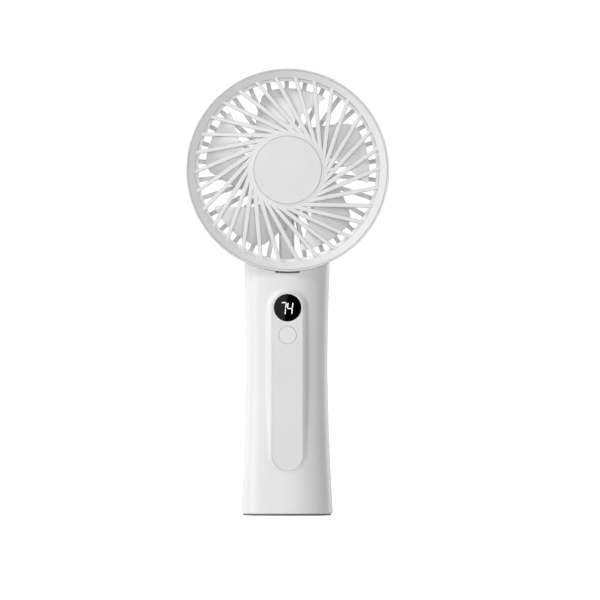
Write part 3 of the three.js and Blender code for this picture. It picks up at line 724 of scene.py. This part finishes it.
def seam_lip(steps=40):
    """Two thin bands inside the handle that close the seam between its halves."""
    verts, faces = [], []
    reach = 1.4
    low = SHELL_BOTTOM + 0.5
    for side in (-1, 1):
        start = len(verts)
        for k in range(steps + 1):
            z = low + (HANDLE_TOP - low) * k / steps
            outer = flare(z, HALF_WIDTH) - WALL - 0.06
            for x, y in ((outer, -reach), (outer, reach), (outer - 0.8, reach), (outer - 0.8, -reach)):
                verts.append((side * x, SEAM_Y + y, z))
        for k in range(steps):
            a, b = start + 4 * k, start + 4 * (k + 1)
            for j in range(4):
                n = (j + 1) % 4
                faces.append((a + j, a + n, b + n, b + j))
        faces.append(tuple(range(start, start + 4)))
        faces.append(tuple(range(start + 4 * steps, start + 4 * steps + 4)))
    return verts, faces


def build_saddle_floor():
    """Closes the handle's top under the head, with a well for the tongue and the knuckle."""
    z = HEAD_Z - HEAD_RADIUS
    overlap = WALL - 0.15
    block = layered(
        oval(flare(z, HALF_WIDTH) - overlap, flare(z, HALF_DEPTH) - overlap),
        [(0, z - 8), (0, HANDLE_TOP + 0.4)],
    )
    obj = bare_object("saddle_floor", lying(block))
    carve(obj, [head_cylinder(SADDLE_RADIUS + 1.2)], "INTERSECT")
    half, front = TONGUE_SLOT["half"] + 0.95, TONGUE_SLOT["front"] - 0.7
    well = box_shape((-half, front, TONGUE_SLOT["floor"] - 0.9), (half, 12.6, HANDLE_TOP))
    carve(obj, [well], "UNION")
    carve(obj, [head_cylinder(SADDLE_RADIUS), tongue_slot()])
    carve_slit(obj)
    finished(obj, white_shell, "handle")


def port_hole():
    """A stadium lying on its side, through the back wall, 0.3 mm wider than the socket."""
    middle = (PORT_LOW.z + PORT_HIGH.z) / 2
    half_height = (PORT_HIGH.z - PORT_LOW.z) / 2
    reach = (PORT_HIGH.x - PORT_LOW.x) / 2 - half_height

    def outline(inset):
        r = half_height + 0.3 - inset
        arc = [-math.pi / 2 + math.pi * k / 16 for k in range(17)]
        right = [(reach + r * math.cos(a), middle + r * math.sin(a)) for a in arc]
        return right + [(-reach - r * math.cos(a), middle - r * math.sin(a)) for a in arc]

    return layered(outline, [(0, 12), (0, 22)])


def build_strip():
    low_y = STRIP_HIGH.y
    shape = layered(stadium(STRIP_HALF, STRIP_ENDS), edge_layers(STRIP_FRONT, low_y, 0.22))
    obj = bare_object("control_strip_face", shape)
    display_hole = DISPLAY_HIGH.x + 0.07
    button_hole = BUTTON_RADIUS + 0.14
    carve(
        obj,
        [
            layered(circle(display_hole, 0, DISPLAY_Z, 96), [(0, -20), (0, -10)]),
            layered(circle(button_hole, 0, BUTTON_Z, 96), [(0, -20), (0, -10)]),
        ],
    )
    finished(obj, white_strip, "handle", ["control_strip"])


def build_button():
    cap = layered(
        circle(BUTTON_RADIUS, 0, BUTTON_Z, 96),
        edge_layers(STRIP_FRONT, BUTTON_HIGH.y - 0.3, 0.12),
    )
    flange = layered(
        circle(BUTTON_HIGH.x, 0, BUTTON_Z, 72),
        edge_layers(BUTTON_HIGH.y - 0.31, BUTTON_HIGH.y, 0.08),
    )
    obj = bare_object("power_button_cap", merged(cap, flange))
    finished(obj, white_button, "button", ["power_button"])


def build_display():
    radius = DISPLAY_HIGH.x
    shape = layered(
        circle(radius, 0, DISPLAY_Z, 96), edge_layers(DISPLAY_LOW.y + 0.02, DISPLAY_HIGH.y, 0.15)
    )
    obj = bare_object("display_window", shape)
    finished(obj, black_window, "handle", ["display_lens"])
    obj = bare_object("display_digits", merged(*digit_segments()))
    finished(obj, segment_light, "handle")


def digit_segments():
    """Two slanted seven-segment digits, 7 and 4, a hair proud of the window."""
    return [segment(name, left) for names, left in (("abc", -3.58), ("fgbc", -0.34)) for name in names]


def segment(name, left):
    w, h, gap = DIGIT["width"], DIGIT["height"], DIGIT["gap"]
    half = DIGIT["stroke"] / 2
    spots = {
        "a": (0, h, w, h),
        "b": (w, h, w, h / 2),
        "c": (w, h / 2, w, 0),
        "f": (0, h, 0, h / 2),
        "g": (0, h / 2, w, h / 2),
    }
    x0, z0, x1, z1 = spots[name]
    if z0 == z1:
        outline = [
            (x0 + gap, z0),
            (x0 + gap + half, z0 + half),
            (x1 - gap - half, z0 + half),
            (x1 - gap, z0),
            (x1 - gap - half, z0 - half),
            (x0 + gap + half, z0 - half),
        ]
    else:
        outline = [
            (x0, z0 - gap),
            (x0 + half, z0 - gap - half),
            (x0 + half, z1 + gap + half),
            (x0, z1 + gap),
            (x0 - half, z1 + gap + half),
            (x0 - half, z0 - gap - half),
        ]
    base = DISPLAY_Z - h / 2 - DIGIT_DROP
    placed = [(left + x + DIGIT["slant"] * z, base + z) for x, z in outline]
    return layered(lambda inset: placed, [(0, DISPLAY_LOW.y + 0.005), (0, DISPLAY_LOW.y + 0.2)])


def oval(width, depth, columns=160):
    def outline(inset):
        points = []
        for k in range(columns):
            a = 2 * math.pi * k / columns
            c, s = math.cos(a), math.sin(a)
            points.append(
                (
                    (width - inset) * math.copysign(abs(c) ** (2 / ROUNDNESS), c),
                    (depth - inset) * math.copysign(abs(s) ** (2 / ROUNDNESS), s),
                )
            )
        return points

    return outline


def lying(shape):
    """A plate's depth turned to height: y becomes z, and z becomes y."""
    return [(x, z, y) for x, y, z in shape[0]], shape[1]


def build_base():
    low, high = cad("foot_pad")
    pad = layered(oval(high.x, high.y), edge_layers(0.0, high.z, 0.1, 0.15))
    obj = bare_object("foot_pad_rubber", lying(pad))
    finished(obj, rubber, "handle", ["foot_pad"])
    low, high = cad("base_cap")
    cap = layered(oval(high.x, high.y), edge_layers(low.z, high.z, 0.3, 0.1))
    obj = bare_object("base_cap_plate", lying(cap))
    finished(obj, white_shell, "handle", ["base_cap"])


# ---- Head -----------------------------------------------------------------------------------


def build_housing():
    r = HEAD_RADIUS
    wall = fillet(
        [
            (SEAT, HEAD_FRONT + 0.3, 0.05),
            (r - 0.24, HEAD_FRONT, 0.12),
            (r, HEAD_FRONT + 0.35, 0.14),
            (r, 1.0, 3.0),
            (48.3, 4.6, 2.2),
            (46.3, 7.2, 1.6),
            (45.2, 7.6, 0.7),
            (REAR_RING, 7.6, 0.4),
            (REAR_RING, 5.2, 0.4),
            (45.6, 5.1, 1.2),
            (47.0, 3.4, 1.2),
            (47.4, 0.0, 1.2),
            (47.4, -13.1, 0.1),
            (SEAT, -13.1, 0.1),
        ],
        steps=6,
    )
    hub = fillet(
        [
            (HUB_RADIUS, 3.0, 0.4),
            (HUB_RADIUS, 9.4, 0.6),
            (14.0, 9.4, 0.3),
            (14.0, 3.0, 0.3),
        ]
    )
    floor = [(14.2, 5.4), (14.2, 7.0), (4.3, 7.0), (4.3, 5.4)]
    parts = [lathe(wall, 240), lathe(hub, 120), lathe(floor, 96)]
    rib = bar(
        [(HUB_RADIUS - 0.6, HEAD_Z, 2.15, 5.2, 1), (REAR_RING + 0.8, HEAD_Z, 2.15, 5.2, 1)],
        2.2,
        0.45,
        0.45,
    )
    for k in range(RIB_COUNT):
        angle = RIB_PITCH / 2 + k * RIB_PITCH
        if round(angle) != 270:
            parts.append(turned_about_head(rib, angle))
    low, high = HEAD_Z + 0.8 - r, HEAD_Z + 1 - HUB_RADIUS
    parts.append(rounded_box((-2.7, 4.5, low), (2.7, 5.6, high), 0.2))
    parts.append(rounded_box((-3.75, 4.8, low), (-2.98, 8.6, high), 0.2))
    parts.append(rounded_box((2.98, 4.8, low), (3.75, 8.6, high), 0.2))
    parts.append(rounded_box((-3.3, 5.5, low), (3.3, 5.9, high), 0.1))
    half = 5.4
    parts.append(rounded_box((-half, -2, HEAD_Z - 50), (half, 4, HEAD_Z + 1.2 - r), 0.2))
    parts.append(rounded_box((-half, 3, HINGE_Z - 1.9), (half, HINGE_Y, HINGE_Z + 3.0), 0.3))
    parts.append(rod(3.1, (-half, HINGE_Y, HINGE_Z), (half, HINGE_Y, HINGE_Z), 0.35))
    obj = bare_object("rear_housing_shell", merged(*parts))
    finished(obj, white_shell, "head", ["rear_housing"])


def build_head_back():
    low, high = cad("rear_cap")
    profile = fillet(
        [(0, low.y, 0), (high.x, low.y, 0.3), (high.x, 9.2, 0.5), (12.6, 9.75, 0.8), (0, high.y, 0)],
        closed=False,
    )
    obj = bare_object("rear_cap_cover", lathe(profile, 120, closed=False))
    finished(obj, white_shell, "head", ["rear_cap"])
    low, high = cad("duct_cover")
    obj = bare_object("duct_cover_strip", rounded_box(low, high, 0.2))
    finished(obj, white_shell, "head", ["duct_cover"])


def build_grille():
    ring = fillet(
        [
            (SEAT - 0.13, HEAD_FRONT + 0.05, 0.1),
            (GRILLE_OPENING, -15.45, 0.25),
            (GRILLE_OPENING - 0.1, -12.0, 0.2),
            (GRILLE_SHELF, -11.9, 0.25),
            (GRILLE_SHELF, -10.6, 0.3),
            (45.4, -10.6, 0.2),
            (45.4, -13.2, 0.2),
            (46.2, -13.2, 0.2),
            (46.2, -10.5, 0.2),
            (47.2, -10.5, 0.2),
            (47.2, -13.4, 0.1),
            (SEAT - 0.13, -13.4, 0.1),
        ],
        steps=6,
    )
    seat = CAP_RADIUS + 0.15
    hub = fillet(
        [
            (0, -16.2, 0),
            (seat - 0.5, -16.2, 0.05),
            (seat - 0.5, -15.2, 0),
            (seat, -15.2, 0),
            (seat, -16.9, 0.06),
            (17.8, -16.75, 0.3),
            (18.1, -14.2, 0.4),
            (0, -14.2, 0),
        ],
        closed=False,
    )
    parts = [lathe(ring, 240), lathe(hub, 180, closed=False)]
    reach = math.sqrt(GRILLE_OPENING**2 - RIB_TANGENT**2) + 0.5
    lean = math.degrees(math.asin(RIB_TANGENT / GRILLE_OPENING))
    start = 1.2
    z = HEAD_Z - RIB_TANGENT
    stations = []
    count = 14
    for k in range(count + 1):
        t = k / count
        x = start + (reach - start) * t
        width = 2.35 - 0.4 * t * t
        stations.append((x, z, width, -16.75 + 1.1 * t * t, 1))
    for share in (0.35, 0.6, 0.8, 0.93, 1.0):
        round_off = math.sqrt(1 - share**2 * 0.8)
        stations.append((reach + 0.5 * share, z, 1.95 * round_off, -15.65 + 0.15 * share**2, 1))
    rib = bar(stations, 2.0, 0.28, 0.45, corner=5, draft=0.18)
    rib = carved_shape(rib, [rod(seat, (0, -20, HEAD_Z), (0, -15.6, HEAD_Z), segments=180)])
    for k in range(RIB_COUNT):
        parts.append(turned_about_head(rib, k * RIB_PITCH + RIB_PHASE + lean))
    obj = bare_object("front_grille_guard", merged(*parts))
    finished(obj, white_grille, "grille", ["front_grille"])


def build_centre_cap():
    back = CAP_HIGH.y
    profile = fillet(
        [(0, back, 0), (CAP_RADIUS, back, 0.1), (CAP_RADIUS, CAP_LOW.y, 0.1), (0, CAP_LOW.y, 0)],
        closed=False,
    )
    obj = bare_object("centre_cap_disc", lathe(profile, 180, closed=False))
    finished(obj, white_cap, "grille", ["centre_cap"])


# ---- Impeller -------------------------------------------------------------------------------



def blade_angle(u, r):
    """Degrees round the axis. Both edges curve: their angle is a constant plus a share of 1/r."""
    front = -43.3 + 1301 / r
    back = -2.4 + 1484 / r
    return front + (back - front) * (u + 1) / 2


def blade():
    """One blade as a thin pillow: u runs from its front edge to its back edge, v outwards."""
    across, out = 40, 36
    middle = (BLADE_FRONT + BLADE_BACK) / 2
    slope = (BLADE_BACK - BLADE_FRONT) / 2 - 0.35
    verts, faces, grids = [], [], []
    for face in (-1, 1):
        grid = []
        for i in range(across + 1):
            u = -math.cos(math.pi * i / across)
            row = []
            for j in range(out + 1):
                v = math.sin(math.pi / 2 * j / out)
                tip = BLADE_TIP - 2.3 * max(0, (u - 0.72) / 0.28) ** 2.4
                tip -= 0.7 * max(0, (-u - 0.86) / 0.14) ** 2
                r = BLADE_ROOT + (tip - BLADE_ROOT) * v
                angle = math.radians(blade_angle(u, r))
                edge = math.sqrt(max(0, 1 - abs(u) ** 6)) * math.sqrt(max(0, 1 - v**14))
                thick = (0.62 + 0.5 * (1 - u * u)) * edge / 2
                y = middle + slope * u - BLADE_CAMBER * (1 - u * u) + face * thick
                row.append(len(verts))
                verts.append((r * math.cos(angle), y, HEAD_Z + r * math.sin(angle)))
            grid.append(row)
        grids.append(grid)
    for grid in grids:
        for i in range(across):
            for j in range(out):
                faces.append((grid[i][j], grid[i + 1][j], grid[i + 1][j + 1], grid[i][j + 1]))
    for i in range(across):
        faces.append((grids[0][i][0], grids[0][i + 1][0], grids[1][i + 1][0], grids[1][i][0]))
    return verts, faces


def build_impeller():
    hub = fillet(
        [
            (0, -11.0, 0),
            (15.4, -11.0, 1.2),
            (15.4, 2.4, 0.4),
            (13.6, 2.4, 0.2),
            (13.6, -9.6, 0.3),
            (0, -9.6, 0),
        ],
        closed=False,
    )
    one = blade()
    parts = [lathe(hub, 120, closed=False)]
    parts += [turned_about_head(one, k * 360 / BLADE_COUNT) for k in range(BLADE_COUNT)]
    obj = bare_object("impeller_wheel", merged(*parts))
    finished(obj, impeller_white_painted_light, "impeller", ["impeller"])


def dress_cad_nodes():
    """The CAD nodes that stay get the finish of their slot."""
    slots = {part["node"]: part["material_slot"] for part in frame["record"]["subparts"]}
    for name, obj in nodes.items():
        material = SLOT_MATERIALS[slots[name]]
        if not obj.material_slots:
            obj.data.materials.append(material)
        for slot in obj.material_slots:
            slot.material = material


# ---- Stage ----------------------------------------------------------------------------------


def backdrop(tree, strength):
    background = tree.nodes.new("ShaderNodeBackground")
    background.inputs["Color"].default_value = (1, 1, 1, 1)
    background.inputs["Strength"].default_value = strength
    return background.outputs["Background"]


def build_backdrop():
    """White behind the fan, grey in its gloss, and a faint light from all round."""
    world = bpy.data.worlds.new("studio")
    scene.world = world
    world.use_nodes = True
    tree = world.node_tree
    tree.nodes.clear()
    output = tree.nodes.new("ShaderNodeOutputWorld")
    path = tree.nodes.new("ShaderNodeLightPath")
    glossy = tree.nodes.new("ShaderNodeMixShader")
    tree.links.new(path.outputs["Is Glossy Ray"], glossy.inputs["Fac"])
    tree.links.new(backdrop(tree, AMBIENT), glossy.inputs[1])
    tree.links.new(backdrop(tree, BACKDROP_MIRRORED), glossy.inputs[2])
    mix = tree.nodes.new("ShaderNodeMixShader")
    tree.links.new(path.outputs["Is Camera Ray"], mix.inputs["Fac"])
    tree.links.new(glossy.outputs["Shader"], mix.inputs[1])
    tree.links.new(backdrop(tree, BACKDROP_SEEN), mix.inputs[2])
    tree.links.new(mix.outputs["Shader"], output.inputs["Surface"])


def build_floor():
    """A white floor that only the camera and glossy surfaces see lit."""
    mesh = bpy.data.meshes.new("floor")
    mesh.from_pydata([(-4, -4, 0), (4, -4, 0), (4, 4, 0), (-4, 4, 0)], [], [(0, 1, 2, 3)])
    floor = bpy.data.objects.new("floor", mesh)
    scene.collection.objects.link(floor)
    material, tree, principled = shader("floor_white")
    principled.inputs["Base Color"].default_value = (0.9, 0.9, 0.9, 1)
    principled.inputs["Roughness"].default_value = 0.9
    principled.inputs["Specular IOR Level"].default_value = 0.0
    principled.inputs["Emission Color"].default_value = (1, 1, 1, 1)
    principled.inputs["Emission Strength"].default_value = FLOOR_GLOW
    mesh.materials.append(material)
    floor.visible_diffuse = False


def area_light(name, place, target, size, power):
    data = bpy.data.lights.new(name, "AREA")
    data.shape = "RECTANGLE"
    data.size, data.size_y = size
    data.energy = power
    light = bpy.data.objects.new(name, data)
    scene.collection.objects.link(light)
    light.location = place
    aim = Vector(target) - Vector(place)
    light.rotation_euler = aim.to_track_quat("-Z", "Y").to_euler()


def build_lights():
    """The two front panels stand either side of what the window mirrors."""
    middle = (0, 0, 0.11)
    area_light("key", (-1.2, -1.1, 1.55), middle, (0.6, 0.6), 16.5)
    area_light("front_left", (-0.21, -1.98, 0.26), middle, (0.3, 0.6), 8)
    area_light("front_right", (0.26, -1.98, 0.26), middle, (0.3, 0.6), 6.5)
    area_light("side", (-1.94, -0.342, 0.42), middle, (0.6, 0.6), 12.5)
    area_light("rim_left", (-1.393, 1.393, 0.467), middle, (0.6, 0.6), 9)
    area_light("rim_right", (1.393, 1.393, 0.467), middle, (0.6, 0.6), 14)


def reflected_card(name, corners, strength):
    """A card beside the camera that shows only in glossy surfaces."""
    mesh = bpy.data.meshes.new(name)
    mesh.from_pydata(corners, [], [(0, 1, 2, 3)])
    obj = bpy.data.objects.new(name, mesh)
    scene.collection.objects.link(obj)
    material, tree, principled = shader(name)
    principled.inputs["Base Color"].default_value = (0, 0, 0, 1)
    principled.inputs["Specular IOR Level"].default_value = 0.0
    principled.inputs["Emission Color"].default_value = (1, 1, 1, 1)
    principled.inputs["Emission Strength"].default_value = strength
    mesh.materials.append(material)
    obj.visible_camera = False
    obj.visible_diffuse = False
    obj.visible_shadow = False
    obj.visible_transmission = False


def build_cards():
    """The window shows the edge of a bright card on its left half and dark on its right."""
    y, low, high = -1.79, -0.25, 0.45
    lean = 0.12
    split = 0.0325
    top, bottom = split + lean * (high - 0.1), split + lean * (low - 0.1)
    reflected_card(
        "card_left", [(-0.3, y, low), (bottom, y, low), (top, y, high), (-0.3, y, high)], 0.5
    )
    reflected_card(
        "card_right", [(bottom, y, low), (0.3, y, low), (0.3, y, high), (top, y, high)], 0.0
    )


def build_camera():
    """A long lens, about a degree to the left of straight ahead."""
    data = bpy.data.cameras.new("camera")
    data.sensor_width = 36
    data.lens = 620.1
    data.clip_end = 20
    camera = bpy.data.objects.new("camera", data)
    scene.collection.objects.link(camera)
    camera.location = (-0.094, -5, 0.1042)
    camera.rotation_euler = (math.pi / 2, 0, -math.atan(0.1 / 4.985))
    scene.camera = camera
    scene.view_settings.view_transform = "Standard"


build_front_shell()
build_rear_shell()
build_saddle_floor()
build_strip()
build_button()
build_display()
build_base()
build_housing()
build_head_back()
build_grille()
build_centre_cap()
build_impeller()
dress_cad_nodes()
build_backdrop()
build_floor()
build_lights()
build_cards()
build_camera()
